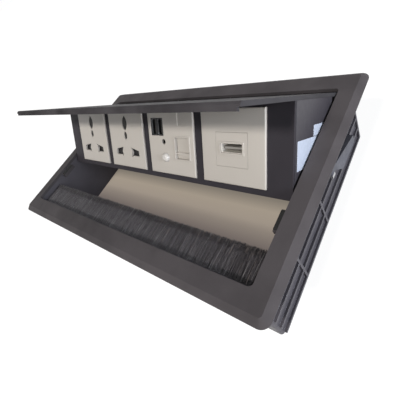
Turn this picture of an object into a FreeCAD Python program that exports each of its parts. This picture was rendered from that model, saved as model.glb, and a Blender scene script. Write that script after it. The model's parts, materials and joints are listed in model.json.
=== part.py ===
import FreeCAD, Part
import math
import os
from types import SimpleNamespace

import Sketcher
from FreeCAD import Placement, Rotation, Vector

# A flip-up socket box that sits flush in a worktop. Millimetres, +X right, +Y to the hinge, +Z up.
# The origin is the centre of the worktop cut-out, on the worktop's top plane.
# The lid and the module box under it are drawn shut, then turned open about the hinge.

# Driving dimensions
SIZES = {
    "frame_length": 258.4,
    "frame_depth": 158.2,
    "frame_thick": 3.0,
    "frame_corner": 5.5,
    "bevel_width": 3.9,
    "bevel_height": 2.5,
    "seat_width": 4.0,
    "seat_relief": 0.5,
    "side_rail": 13.1,
    "front_rail": 13.95,
    "rear_rail": 15.75,
    "opening_corner": 2.5,
    "frame_skirt_thick": 2.0,
    "frame_skirt_drop": 9.0,
    "frame_skirt_inset": 3.0,
    "rest_tab_inset": 7.55,
    "rest_tab_length": 12.9,
    "rest_tab_reach": 3.6,
    "rest_tab_thick": 3.0,
    "rest_pad_thick": 0.9,
    "rest_pad_inset": 0.8,
    "tub_end_inset": 10.4,
    "tub_side_inset": 6.8,
    "tub_height": 46.6,
    "tub_wall": 2.2,
    "tub_corner": 2.0,
    "play": 0.2,
    "rib_proud": 1.4,
    "rib_thick": 1.6,
    "rib_high": 12.0,
    "rib_middle": 27.5,
    "rib_low_rise": 9.7,
    "rib_front": 1.1,
    "rib_pitch": 36.2,
    "screw_line": 5.0,
    "screw_pitch": 60.0,
    "screw_radius": 1.4,
    "screw_head_radius": 2.7,
    "screw_head_depth": 1.3,
    "screw_bite": 1.0,
    "cross_width": 0.7,
    "cross_depth": 0.7,
    "brush_end_gap": 0.9,
    "brush_holder_deep": 4.0,
    "brush_holder_high": 6.2,
    "brush_holder_top": 1.4,
    "brush_slot_deep": 2.2,
    "bristle_thick": 3.0,
    "bristle_reach": 20.2,
    "lid_gap": 0.8,
    "rear_gap": 1.5,
    "lid_thick": 2.2,
    "lid_reach": 101.5,
    "lid_edge": 1.2,
    "lid_lip_thick": 1.6,
    "lid_lip_drop": 1.6,
    "lid_lip_end": 1.5,
    "barrel_radius": 3.2,
    "open_angle": 39.7,
    "stop_reach": 6.8,
    "stop_thick": 1.5,
    "stop_drop": 0.7,
    "stop_landing": 0.9,
    "stop_play": 0.12,
    "pin_radius": 1.5,
    "pin_length": 12.0,
    "pin_engaged": 4.2,
    "pin_play": 0.05,
    "bush_wall": 0.65,
    "bush_flange": 0.4,
    "bush_flange_radius": 2.9,
    "bush_depth": 5.0,
    "washer_thick": 0.34,
    "pin_spring_length": 14.0,
    "pin_spring_wire": 0.35,
    "pin_spring_turns": 9.0,
    "boss_wall": 1.8,
    "box_end_gap": 1.2,
    "face_setback": 55.3,
    "box_depth": 49.0,
    "plate_foot": 4.1,
    "box_wall": 2.0,
    "fascia_thick": 2.0,
    "cover_thick": 2.0,
    "cover_boss": 3.2,
    "cover_boss_length": 10.0,
    "cover_screw_bite": 5.0,
    "lid_screw_front": 8.0,
    "lid_screw_rear": 14.0,
    "lid_screw_radius": 1.5,
    "lid_screw_head": 2.85,
    "lid_screw_head_high": 2.0,
    "lid_screw_bite": 1.5,
    "plate_lap": 0.6,
    "plate_gap": 6.8,
    "plate_shift": 1.4,
    "plate_top": 2.3,
    "plate_proud": 1.6,
    "plate_edge": 0.7,
    "skirt_size": 43.0,
    "skirt_wall": 1.4,
    "skirt_depth": 7.0,
    "fit_gap": 0.1,
    "earth_inset": 8.6,
    "leaf_width": 6.4,
    "leaf_height": 11.6,
    "small_leaf_drop": 9.7,
    "small_leaf_width": 3.9,
    "small_leaf_height": 6.4,
    "insert_recess": 0.5,
    "insert_back": 1.3,
    "insert_lap": 1.0,
    "pin_hole_drop": 9.8,
    "pin_hole_offset": 10.1,
    "pin_hole_wide": 10.2,
    "pin_hole_high": 7.6,
    "blade_width": 11.4,
    "blade_height": 9.0,
    "shutter_bar": 3.4,
    "shutter_gap": 0.2,
    "shutter_thick": 1.2,
    "base_front": 1.6,
    "base_depth": 26.0,
    "contact_wall": 0.8,
    "contact_start": 4.0,
    "contact_end": 20.0,
    "usb_inset": 9.0,
    "usb_rise": 10.7,
    "usb_wide": 12.8,
    "usb_high": 12.2,
    "usb_slot_wide": 4.6,
    "usb_slot_high": 11.2,
    "usb_slot_pitch": 6.3,
    "usb_recess": 0.4,
    "usb_depth": 13.0,
    "usb_border": 0.7,
    "usb_back": 1.0,
    "shell_wall": 0.3,
    "tongue_thick": 1.5,
    "jack_left": 6.4,
    "jack_rise": 0.5,
    "jack_radius": 1.75,
    "jack_wide": 6.4,
    "jack_high": 5.6,
    "jack_depth": 14.0,
    "button_left": 4.8,
    "button_drop": 10.3,
    "button_radius": 3.1,
    "button_proud": 2.4,
    "button_dome": 2.0,
    "button_travel": 1.2,
    "button_collar": 0.8,
    "button_collar_thick": 1.0,
    "button_shank": 3.2,
    "switch_size": 6.0,
    "switch_depth": 7.0,
    "net_inset": 10.1,
    "net_drop": 3.3,
    "net_wide": 14.4,
    "net_high": 16.4,
    "net_rim": 1.0,
    "net_rim_proud": 0.5,
    "net_lap": 0.5,
    "net_grip_drop": 3.5,
    "net_grip_high": 1.2,
    "net_depth": 16.0,
    "net_wall": 1.2,
    "port_mouth_wide": 11.8,
    "port_mouth_high": 6.7,
    "port_mouth_drop": 1.25,
    "latch_wide": 4.0,
    "latch_high": 1.3,
    "wire_pitch": 1.27,
    "wire_size": 0.5,
    "mark_rise": 15.7,
    "mark_wide": 6.2,
    "mark_high": 8.0,
    "mark_depth": 0.3,
    "video_insert_wide": 22.0,
    "video_insert_high": 20.0,
    "video_drop": 1.4,
    "video_flange": 2.5,
    "port_wide": 15.0,
    "port_high": 5.7,
    "port_rise": 0.9,
    "port_lip": 1.1,
    "port_lip_proud": 0.4,
    "port_recess": 0.6,
    "port_depth": 12.0,
    "port_tongue_thick": 1.3,
    "board_margin": 1.0,
    "board_thick": 1.6,
    "carrier_wall": 1.7,
    "charger_depth": 19.0,
    "post_size": 4.0,
    "transformer_size": 16.0,
    "transformer_deep": 13.0,
    "gland_offset": 70.0,
    "gland_below": 1.4,
    "gland_radius": 7.5,
    "gland_wall": 1.7,
    "gland_bore": 4.2,
    "gland_length": 9.0,
    "gland_nut_thick": 3.0,
    "gland_nut_lap": 1.0,
    "grommet_radius": 9.5,
    "grommet_groove": 1.5,
    "grommet_lip": 1.6,
    "grommet_bore": 5.5,
    "terminal_length": 34.0,
    "terminal_size": 13.0,
    "terminal_inset": 1.0,
    "terminal_shift": 36.0,
    "wire_hole": 2.2,
    "terminal_well": 2.4,
    "terminal_screw_high": 3.4,
    "label_thick": 0.15,
    "label_rear": 12.0,
    "label_length": 39.6,
    "label_drop": 20.0,
    "label_high": 15.6,
    "small_label_length": 19.9,
    "small_label_high": 6.0,
    "small_label_drop": 13.7,
    "arm_thick": 3.6,
    "arm_pivot_inset": 55.3,
    "arm_length": 36.0,
    "arm_head_high": 4.8,
    "arm_foot_drop": 20.0,
    "arm_heel_length": 12.2,
    "arm_heel_drop": 10.4,
    "arm_tip_high": 6.2,
    "arm_tip_drop": 10.9,
    "clamp_screw_radius": 1.25,
    "clamp_screw_end": 1.3,
    "clamp_head_radius": 1.9,
    "clamp_head_high": 1.8,
    "clamp_gap": 0.3,
    "nut_high": 2.2,
    "ear_thick": 2.5,
    "ear_top": 2.7,
    "ear_front": 3.2,
    "ear_rear": 3.6,
}

SCREW_STEPS = (-1.5, -0.5, 0.5, 1.5)
PLATE_STEPS = (-1.5, -0.5, 0.5, 1.5)


def numbered(other):
    """A plain number as a Size, so that sums can mix the two."""
    return other if isinstance(other, Size) else Size(other, repr(float(other)))


class Size:
    """A value in millimetres, with the sheet formula that gives it."""

    def __init__(self, value, text):
        self.value = float(value)
        self.text = text

    def __add__(self, other):
        other = numbered(other)
        return Size(self.value + other.value, f"({self.text} + {other.text})")

    def __radd__(self, other):
        return numbered(other) + self

    def __sub__(self, other):
        other = numbered(other)
        return Size(self.value - other.value, f"({self.text} - {other.text})")

    def __rsub__(self, other):
        return numbered(other) - self

    def __mul__(self, other):
        other = numbered(other)
        return Size(self.value * other.value, f"({self.text} * {other.text})")

    def __rmul__(self, other):
        return numbered(other) * self

    def __truediv__(self, other):
        other = numbered(other)
        return Size(self.value / other.value, f"({self.text} / {other.text})")

    def __neg__(self):
        return 0 - self

    def __float__(self):
        return self.value


doc = FreeCAD.newDocument("socket_hub")
sheet = doc.addObject("Spreadsheet::Sheet", "Sizes")
for row, (alias, value) in enumerate(SIZES.items(), start=1):
    sheet.set(f"A{row}", alias)
    sheet.set(f"B{row}", str(value))
    sheet.setAlias(f"B{row}", alias)
doc.recompute()
S = SimpleNamespace(**{alias: Size(sheet.get(alias), f"Sizes.{alias}") for alias in SIZES})

pieces = []

# Places that several pieces share
flange_half = S.frame_length / 2
flange_edge = S.frame_depth / 2
opening_half = flange_half - S.side_rail
opening_front = S.front_rail - flange_edge
opening_rear = flange_edge - S.rear_rail
mid_flange = S.frame_thick / 2
tub_half = flange_half - S.tub_end_inset
tub_edge = flange_edge - S.tub_side_inset
wall_inner = tub_edge - S.tub_wall
skirt_outer = wall_inner - S.play
skirt_inner = skirt_outer - S.frame_skirt_thick
skirt_half = opening_half - S.frame_skirt_inset
axis_y = opening_rear - S.rear_gap - S.barrel_radius
axis_z = S.frame_thick - S.barrel_radius
lid_under = S.frame_thick - S.lid_thick
lid_half = opening_half - S.lid_gap
lid_front = axis_y - S.lid_reach
pin_bore = S.pin_radius + S.pin_play
bush_radius = pin_bore + S.bush_wall
tab_top = lid_under - S.rest_pad_thick - S.play / 2
tab_front = lid_front + S.rest_tab_inset
tab_back = tab_front + S.rest_tab_length
box_half = opening_half - S.box_end_gap
face_y = axis_y - S.face_setback
fascia_back = face_y + S.fascia_thick
box_back = face_y + S.box_depth
cover_front = box_back - S.cover_thick
inner_top = lid_under - S.box_wall
module_half = S.skirt_size / 2
plate_size = S.skirt_size + 2 * S.plate_lap
plate_pitch = plate_size + S.plate_gap
plate_z = lid_under - S.plate_top - plate_size / 2
box_floor = plate_z - plate_size / 2 - S.plate_foot
inner_floor = box_floor + S.box_wall
gland_z = plate_z - S.gland_below
gland_neck = S.gland_bore + S.gland_wall
carrier_hole = module_half - S.carrier_wall
board_size = S.skirt_size - 2 * S.board_margin
clamp_x = tub_half + S.clamp_gap + S.arm_thick / 2
clamp_hole = S.clamp_screw_radius + S.pin_play
ear_foot = -S.ear_top - S.ear_thick
arm_foot = -S.arm_foot_drop
arm_top = arm_foot + S.arm_head_high
heel_start = S.arm_thick / 2 * math.sqrt(2) + S.play
arm_pivot = tub_edge - S.arm_pivot_inset
HINGE = Vector(0, float(axis_y), float(axis_z))
TURN_OPEN = Rotation(Vector(1, 0, 0), -float(S.open_angle))
SIDES = (("right", 1), ("left", -1))
DIRECTIONS = {
    "x": Vector(1, 0, 0),
    "-x": Vector(-1, 0, 0),
    "y": Vector(0, 1, 0),
    "-y": Vector(0, -1, 0),
    "z": Vector(0, 0, 1),
}
OVERCUT = 1.0
CROSS_SHARE = 1.3
NETWORK_WIRES = 8


# Helpers: each makes one document object whose sizes follow the sheet
def bind(thing, path, size):
    thing.setExpression(path, numbered(size).text)


def place(thing, x, y, z):
    for axis, size in zip("xyz", (x, y, z)):
        bind(thing, f"Placement.Base.{axis}", size)


def block(name, x, y, z):
    """A box between a low and a high size along each axis."""
    thing = doc.addObject("Part::Box", name)
    for side, (low, high) in zip(("Length", "Width", "Height"), (x, y, z)):
        bind(thing, side, high - low)
    place(thing, x[0], y[0], z[0])
    return thing


def rod(name, radius, start, length, along="z"):
    """A cylinder from a start point, along one axis."""
    thing = doc.addObject("Part::Cylinder", name)
    thing.Placement = Placement(Vector(), Rotation(Vector(0, 0, 1), DIRECTIONS[along]))
    bind(thing, "Radius", radius)
    bind(thing, "Height", length)
    place(thing, *start)
    return thing


def cone(name, first_radius, last_radius, start, length, along="z"):
    thing = doc.addObject("Part::Cone", name)
    thing.Placement = Placement(Vector(), Rotation(Vector(0, 0, 1), DIRECTIONS[along]))
    bind(thing, "Radius1", first_radius)
    bind(thing, "Radius2", last_radius)
    bind(thing, "Height", length)
    place(thing, *start)
    return thing


def fuse(name, *parts):
    if len(parts) == 1:
        return parts[0]
    thing = doc.addObject("Part::MultiFuse", name)
    thing.Shapes = list(parts)
    return thing


def cut(name, base, *tools):
    thing = doc.addObject("Part::Cut", name)
    thing.Base = base
    thing.Tool = fuse(f"{name}_tools", *tools)
    return thing


def group(name, solids):
    """Separate solids that share one node."""
    thing = doc.addObject("Part::Compound", name)
    thing.Links = solids
    return thing


def around(centre, half):
    return (centre - half, centre + half)


def outward(sign, near, far):
    """A stretch of X from near to far, on the right side or mirrored on the left."""
    return (near, far) if sign > 0 else (-far, -near)


def sideways(sign):
    return "x" if sign > 0 else "-x"


def new_body(name):
    return doc.addObject("PartDesign::Body", name)


def sketch_on(body, name, plane, offset, *outlines):
    """Closed outlines on one of the body's origin planes, with every corner tied to the sheet."""
    sketch = body.newObject("Sketcher::SketchObject", name)
    support = next(p for p in body.Origin.OriginFeatures if p.Role == plane)
    sketch.AttachmentSupport = (support, [""])
    sketch.MapMode = "FlatFace"
    bind(sketch, "AttachmentOffset.Base.z", offset)
    for outline in outlines:
        add_outline(sketch, [(numbered(u), numbered(v)) for u, v in outline])
    return sketch


def tie(sketch, kind, line, size):
    index = sketch.addConstraint(Sketcher.Constraint(kind, -1, 1, line, 1, float(size)))
    bind(sketch, f"Constraints[{index}]", size)


def add_outline(sketch, points):
    first = sketch.GeometryCount
    for start, end in zip(points, points[1:] + points[:1]):
        ends = [Vector(float(u), float(v), 0) for u, v in (start, end)]
        sketch.addGeometry(Part.LineSegment(*ends))
    for i, (u, v) in enumerate(points):
        before = first + (i - 1) % len(points)
        sketch.addConstraint(Sketcher.Constraint("Coincident", before, 2, first + i, 1))
        tie(sketch, "DistanceX", first + i, u)
        tie(sketch, "DistanceY", first + i, v)


def oblong(u, v):
    """The corners of an upright rectangle."""
    return [(u[0], v[0]), (u[1], v[0]), (u[1], v[1]), (u[0], v[1])]


def pad(body, sketch, length, both_ways=False, backwards=False):
    thing = body.newObject("PartDesign::Pad", f"{sketch.Name}_pad")
    thing.Profile = sketch
    thing.Midplane = both_ways
    thing.Reversed = backwards
    bind(thing, "Length", length)
    doc.recompute()
    return body


def pocket(body, sketch, deep):
    thing = body.newObject("PartDesign::Pocket", f"{sketch.Name}_pocket")
    before = body.Shape.Volume
    thing.Profile = sketch
    bind(thing, "Length", deep)
    doc.recompute()
    if not body.Shape.Volume < before:
        raise RuntimeError(f"{sketch.Name} cuts nothing")
    return body


def round_edges(body, name, radius, wanted):
    base = body.Tip
    thing = body.newObject("PartDesign::Fillet", name)
    edges = [f"Edge{i}" for i, edge in enumerate(base.Shape.Edges, start=1) if wanted(edge)]
    thing.Base = (base, edges)
    bind(thing, "Radius", radius)
    doc.recompute()
    return body


def upright(edge):
    box = edge.BoundBox
    return box.XLength < 1e-6 and box.YLength < 1e-6


def soften(name, base, y, radius):
    """Rounds the edges of a piece that lie wholly in the plane at y."""
    doc.recompute()
    thing = doc.addObject("Part::Fillet", name)
    thing.Base = base
    level = float(y)
    edges = []
    for i, edge in enumerate(base.Shape.Edges, start=1):
        box = edge.BoundBox
        if abs(box.YMax - level) < 1e-4 and abs(box.YMin - level) < 1e-4:
            edges.append((i, float(radius), float(radius)))
    thing.Edges = edges
    return thing


def keep(label, thing, opens=False):
    """Names a finished piece. One that opens is turned about the hinge from its shut place."""
    if opens:
        if not thing.TypeId.startswith("PartDesign"):
            turned = doc.addObject("Part::Refine", f"{label}_turned")
            turned.Source = thing
            thing = turned
        thing.Placement = Placement(Vector(), TURN_OPEN, HINGE)
    thing.Label = label
    pieces.append((label, thing))


# Frame that lies on the worktop
def make_bezel_frame():
    body = new_body("bezel_body")
    outline = oblong(around(0, flange_half), around(0, flange_edge))
    pad(body, sketch_on(body, "flange_outline", "XY_Plane", 0, outline), S.frame_thick)
    round_edges(body, "flange_corners", S.frame_corner, upright)
    opening = oblong((-opening_half, opening_half), (opening_front, opening_rear))
    pocket(body, sketch_on(body, "lid_opening", "XY_Plane", S.frame_thick, opening), S.frame_thick)

    def round_the_opening(edge):
        return upright(edge) and abs(edge.BoundBox.Center.x) < float(opening_half) + OVERCUT

    round_edges(body, "opening_corners", S.opening_corner, round_the_opening)
    relief = oblong(around(0, flange_half - S.seat_width), around(0, flange_edge - S.seat_width))
    pocket(body, sketch_on(body, "seat_relief", "XY_Plane", S.seat_relief, relief), S.seat_relief)
    bevel_outside(body)
    tools = []
    skirt_x = (-skirt_half, skirt_half)
    skirt_z = (-S.frame_skirt_drop, mid_flange)
    added = [
        block("front_skirt", skirt_x, (-skirt_outer, -skirt_inner), skirt_z),
        block("rear_skirt", skirt_x, (skirt_inner, skirt_outer), skirt_z),
        make_stop_ledge(),
    ]
    tab_y = (tab_front, tab_back)
    boss = bush_radius + S.boss_wall
    for side, sign in SIDES:
        tab_x = outward(sign, opening_half - S.rest_tab_reach, opening_half + OVERCUT)
        added.append(block(f"rest_tab_{side}", tab_x, tab_y, (tab_top - S.rest_tab_thick, tab_top)))
        root_x = outward(sign, opening_half, opening_half + OVERCUT)
        added.append(block(f"tab_root_{side}", root_x, tab_y, (tab_top - S.rest_tab_thick, mid_flange)))
        boss_x = outward(sign, opening_half, opening_half + S.bush_depth + S.boss_wall)
        added.append(block(f"hinge_boss_{side}", boss_x, around(axis_y, boss), (axis_z - boss, mid_flange)))
        seat = (sign * (opening_half - OVERCUT), axis_y, axis_z)
        tools.append(rod(f"bush_seat_{side}", bush_radius, seat, S.bush_depth + OVERCUT, sideways(sign)))
    through = S.frame_skirt_thick + 2 * OVERCUT
    for side, y in (("front", -skirt_outer), ("rear", skirt_inner)):
        for i, step in enumerate(SCREW_STEPS):
            start = (S.screw_pitch * step, y - OVERCUT, -S.screw_line)
            tools.append(rod(f"skirt_hole_{side}_{i}", S.screw_radius, start, through, "y"))
    keep("bezel_frame", cut("bezel_cut", fuse("bezel_whole", body, *added), *tools))


def bevel_outside(body):
    """The wide shallow bevel round the outer edge of the flange's top."""
    base = body.Tip
    top = float(S.frame_thick)
    reach_x = float(flange_half - S.frame_corner) - 1e-3
    reach_y = float(flange_edge - S.frame_corner) - 1e-3
    edges = []
    for i, edge in enumerate(base.Shape.Edges, start=1):
        box = edge.BoundBox
        far = max(abs(box.XMin), abs(box.XMax)) > reach_x or max(abs(box.YMin), abs(box.YMax)) > reach_y
        if far and box.ZMin > top - 1e-4:
            edges.append(f"Edge{i}")
    bevel = body.newObject("PartDesign::Chamfer", "outer_bevel")
    bevel.Base = (base, edges)
    bevel.ChamferType = "Two distances"
    bevel.FlipDirection = True
    bind(bevel, "Size", S.bevel_width)
    bind(bevel, "Size2", S.bevel_height)
    doc.recompute()


def make_stop_ledge():
    """The ledge behind the opening that the lid's lip comes down on."""
    turn = math.radians(float(S.open_angle))
    lip_low = math.sin(turn) * S.stop_reach + math.cos(turn) * (S.stop_drop + S.stop_thick)
    lip_back = math.cos(turn) * S.stop_reach - math.sin(turn) * (S.stop_drop + S.stop_thick)
    y = (axis_y + lip_back - S.stop_landing, skirt_inner + S.frame_skirt_thick / 2)
    z = (-S.frame_skirt_drop, axis_z - lip_low - S.stop_play)
    return block("stop_ledge", (-skirt_half, skirt_half), y, z)


def make_rest_pads():
    top = tab_top + S.rest_pad_thick
    y = (tab_front + S.rest_pad_inset, tab_back - S.rest_pad_inset)
    pads = []
    for side, sign in SIDES:
        x = outward(sign, opening_half - S.rest_tab_reach + S.play, opening_half - S.play)
        pads.append(block(f"rest_pad_{side}", x, y, (tab_top, top)))
    keep("lid_rest_pads", group("rest_pad_group", pads))


# Open-bottomed tub that hangs in the cut-out
def make_tub():
    body = new_body("tub_body")
    top = S.seat_relief
    outline = oblong((-tub_half, tub_half), (-tub_edge, tub_edge))
    pad(body, sketch_on(body, "tub_outline", "XY_Plane", top, outline), S.tub_height + top, backwards=True)
    round_edges(body, "tub_corners", S.tub_corner, upright)
    inner = tub_half - S.tub_wall
    inside = oblong((-inner, inner), (-wall_inner, wall_inner))
    pocket(body, sketch_on(body, "tub_hollow", "XY_Plane", top, inside), S.tub_height + top)
    added, tools = [], []
    for side, sign in SIDES:
        added += make_side_ribs(side, sign)
        ear_x = outward(sign, tub_half - S.tub_wall / 2, clamp_x + S.arm_thick / 2 + S.clamp_gap)
        ear_y = (arm_pivot - S.ear_front, arm_pivot + S.ear_rear)
        added.append(block(f"ear_{side}", ear_x, ear_y, (ear_foot, -S.ear_top)))
        start = (sign * clamp_x, arm_pivot, ear_foot - OVERCUT)
        tools.append(rod(f"ear_hole_{side}", clamp_hole, start, S.ear_thick + 2 * OVERCUT))
        notch = bush_radius + S.boss_wall + S.play
        notch_x = outward(sign, opening_half, opening_half + S.bush_depth + S.boss_wall + S.play)
        notch_z = (axis_z - notch, mid_flange)
        tools.append(block(f"boss_notch_{side}", notch_x, around(axis_y, notch), notch_z))
        tab_x = outward(sign, opening_half, opening_half + OVERCUT + S.play)
        tab_y = (tab_front - S.play, tab_back + S.play)
        tab_z = (tab_top - S.rest_tab_thick - S.play, mid_flange)
        tools.append(block(f"tab_notch_{side}", tab_x, tab_y, tab_z))
    hole = S.screw_radius + S.fit_gap
    for side, sign, along in (("front", -1, "y"), ("rear", 1, "-y")):
        for i, step in enumerate(SCREW_STEPS):
            start = (S.screw_pitch * step, sign * tub_edge, -S.screw_line)
            sink = (S.screw_head_radius + S.fit_gap, hole, start, S.screw_head_depth, along)
            tools.append(rod(f"tub_hole_{side}_{i}", hole, start, S.tub_wall + OVERCUT, along))
            tools.append(cone(f"tub_sink_{side}_{i}", *sink))
    keep("tub", cut("tub_cut", fuse("tub_whole", body, *added), *tools))


def make_side_ribs(side, sign):
    """Ribs on one end of the tub and a rim at its lower edge. The upper two leave the clamp arm its room."""
    x = outward(sign, tub_half - S.tub_wall / 2, tub_half + S.rib_proud)
    half = S.rib_thick / 2
    front = S.tub_corner - tub_edge
    rear = tub_edge - S.tub_corner
    behind_arm = arm_pivot + S.arm_length + OVERCUT
    heel_slope = (S.arm_heel_length - heel_start) / S.arm_heel_drop
    under_arm = arm_pivot + heel_start + heel_slope * (S.rib_middle - S.arm_foot_drop - half) - OVERCUT
    low = S.rib_low_rise - S.tub_height
    stretches = (
        ("high_front", -S.rib_high, (front, arm_pivot - S.ear_rear)),
        ("high_rear", -S.rib_high, (behind_arm, rear)),
        ("middle_front", -S.rib_middle, (front, under_arm)),
        ("middle_rear", -S.rib_middle, (behind_arm, rear)),
        ("low", low, (front, rear)),
        ("rim", half - S.tub_height, (front, rear)),
    )
    ribs = [block(f"rib_{name}_{side}", x, y, around(z, half)) for name, z, y in stretches]
    tall = (-S.tub_height, -S.rib_high)
    for step in (0, 1):
        y = -S.rib_front - S.rib_pitch * step
        ribs.append(block(f"upright_{side}_{step}", x, around(y, half), tall))
    ribs.append(block(f"upright_{side}_rear", x, (rear - S.rib_thick, rear), tall))
    return ribs


def cross_slots(name, start, along, size):
    """Two crossing slots in the end of a screw head, cut in the direction the screw points."""
    x, y, z = start
    half = S.cross_width / 2
    spread = size / 2
    if along == "z":
        deep = (z, z + S.cross_depth)
        first = block(f"{name}_slot_a", around(x, spread), around(y, half), deep)
        second = block(f"{name}_slot_b", around(x, half), around(y, spread), deep)
        return [first, second]
    deep = (y, y + S.cross_depth) if along == "y" else (y - S.cross_depth, y)
    first = block(f"{name}_slot_a", around(x, spread), deep, around(z, half))
    second = block(f"{name}_slot_b", around(x, half), deep, around(z, spread))
    return [first, second]


def countersunk(name, start, along, length):
    head = cone(f"{name}_head", S.screw_head_radius, S.screw_radius, start, S.screw_head_depth, along)
    shank = rod(f"{name}_shank", S.screw_radius, start, length, along)
    slots = cross_slots(name, start, along, S.screw_head_radius * CROSS_SHARE)
    return cut(name, fuse(f"{name}_blank", head, shank), *slots)


def make_frame_screws():
    grip = S.tub_wall + S.play + S.frame_skirt_thick
    screws = []
    for side, sign, along, length in (("front", -1, "y", grip + S.screw_bite), ("rear", 1, "-y", grip)):
        for i, step in enumerate(SCREW_STEPS):
            start = (S.screw_pitch * step, sign * tub_edge, -S.screw_line)
            screws.append(countersunk(f"frame_screw_{side}_{i}", start, along, length))
    keep("frame_screws", group("frame_screw_group", screws))


# Brush strip behind the front rail
def make_brush():
    half = opening_half - S.brush_end_gap
    front = -skirt_inner
    back = front + S.brush_holder_deep
    z = (-S.brush_holder_top - S.brush_holder_high, -S.brush_holder_top)
    strip_z = around((z[0] + z[1]) / 2, S.bristle_thick / 2)
    slot_y = back - S.brush_slot_deep
    tools = [block("bristle_slot", (-half, half), (slot_y, back + OVERCUT), strip_z)]
    for i, step in enumerate(SCREW_STEPS):
        start = (S.screw_pitch * step, front - OVERCUT, -S.screw_line)
        tools.append(rod(f"holder_hole_{i}", S.screw_radius, start, S.screw_bite + OVERCUT, "y"))
    keep("brush_holder", cut("holder_cut", block("holder_bar", (-half, half), (front, back), z), *tools))
    keep("brush_bristles", block("bristle_block", (-half, half), (slot_y, back + S.bristle_reach), strip_z))


# Hinge: a sprung pin in each end of the lid's barrel turns in a flanged bush in the frame
def make_hinge():
    for side, sign in SIDES:
        along = sideways(sign)
        seat = (sign * (opening_half - S.bush_flange), axis_y, axis_z)
        reach = S.bush_depth + S.bush_flange
        sleeve = rod(f"sleeve_{side}", bush_radius, seat, reach, along)
        flange = rod(f"bush_flange_{side}", S.bush_flange_radius, seat, S.bush_flange, along)
        bore = rod(f"sleeve_bore_{side}", pin_bore, (sign * lid_half, axis_y, axis_z), reach + OVERCUT, along)
        keep(f"pivot_bush_{side}", cut(f"bush_{side}", fuse(f"bush_blank_{side}", sleeve, flange), bore))
        start = (sign * (lid_half - S.pin_length), axis_y, axis_z)
        pin = rod(f"pin_{side}", S.pin_radius, start, S.pin_length + S.lid_gap + S.pin_engaged, along)
        keep(f"pivot_pin_{side}", pin, opens=True)
        lid_end = (sign * lid_half, axis_y, axis_z)
        disc = rod(f"washer_disc_{side}", S.bush_flange_radius, lid_end, S.washer_thick, along)
        eye = rod(f"washer_eye_{side}", pin_bore, lid_end, S.washer_thick, along)
        keep(f"friction_washer_{side}", cut(f"washer_{side}", disc, eye), opens=True)
    make_pin_springs()


def coil(radius, wire, length, turns):
    """A compression spring along +X from the origin, as one swept round wire."""
    helix = Part.makeHelix((length - 2 * wire) / turns, length - 2 * wire, radius)
    loop = Part.Wire([Part.makeCircle(wire, Vector(radius, 0, 0), Vector(0, 1, 0))])
    spring = Part.Wire(helix.Edges).makePipeShell([loop], True, True)
    spring.rotate(Vector(), Vector(0, 1, 0), 90)
    spring.translate(Vector(wire, 0, 0))
    return spring


def make_pin_springs():
    """Swept from the sheet's values, because a sweep along a helix has no simpler object."""
    wire = float(S.pin_spring_wire)
    length = float(S.pin_spring_length)
    radius = float(S.pin_radius - S.pin_spring_wire - S.pin_play)
    springs = []
    for sign in (1, -1):
        spring = coil(radius, wire, length, float(S.pin_spring_turns))
        spring.translate(Vector(float(lid_half - S.pin_length) - length, 0, 0))
        if sign < 0:
            spring.rotate(Vector(), Vector(0, 0, 1), 180)
        springs.append(spring)
    pair = doc.addObject("Part::Feature", "pin_spring_pair")
    pair.Shape = Part.makeCompound(springs)
    pair.Placement = Placement(HINGE, TURN_OPEN)
    pair.Label = "pin_springs"
    pieces.append(("pin_springs", pair))


# Lid: a flat plate with a turned-down front lip, its hinge barrel and the lip that stops it
def make_lid():
    body = new_body("lid_body")
    top = S.frame_thick
    section = [
        (lid_front, lid_under),
        (axis_y, lid_under),
        (axis_y, top),
        (lid_front + S.lid_edge, top),
        (lid_front, top - S.lid_edge),
    ]
    pad(body, sketch_on(body, "lid_section", "YZ_Plane", 0, section), lid_half * 2, both_ways=True)
    lip_half = skirt_half - OVERCUT
    lip_z = (axis_z - S.stop_drop - S.stop_thick, axis_z - S.stop_drop)
    front_y = (lid_front, lid_front + S.lid_lip_thick)
    front_z = (lid_under - S.lid_lip_drop, lid_under + S.lid_lip_thick / 2)
    added = [
        rod("lid_barrel", S.barrel_radius, (-lid_half, axis_y, axis_z), lid_half * 2, "x"),
        block("stop_lip", (-lip_half, lip_half), (axis_y, axis_y + S.stop_reach), lip_z),
        block("front_lip", around(0, lid_half - S.lid_lip_end), front_y, front_z),
    ]
    bore = S.pin_length + S.pin_spring_length
    tools = []
    for side, sign in SIDES:
        start = (sign * (lid_half - bore), axis_y, axis_z)
        tools.append(rod(f"pin_bore_{side}", S.pin_radius, start, bore + OVERCUT, sideways(sign)))
    for i, (x, y) in enumerate(lid_screw_places()):
        start = (x, y, lid_under - OVERCUT)
        tools.append(rod(f"lid_thread_{i}", S.lid_screw_radius, start, S.lid_screw_bite + OVERCUT))
    keep("lid_plate", cut("lid_cut", fuse("lid_whole", body, *added), *tools), opens=True)


def lid_screw_places():
    """Two rows, in the gaps between the modules."""
    rows = (fascia_back + S.lid_screw_front, cover_front - S.lid_screw_rear)
    return [(S.plate_shift + plate_pitch * step, y) for step in (-1, 0, 1) for y in rows]


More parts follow.
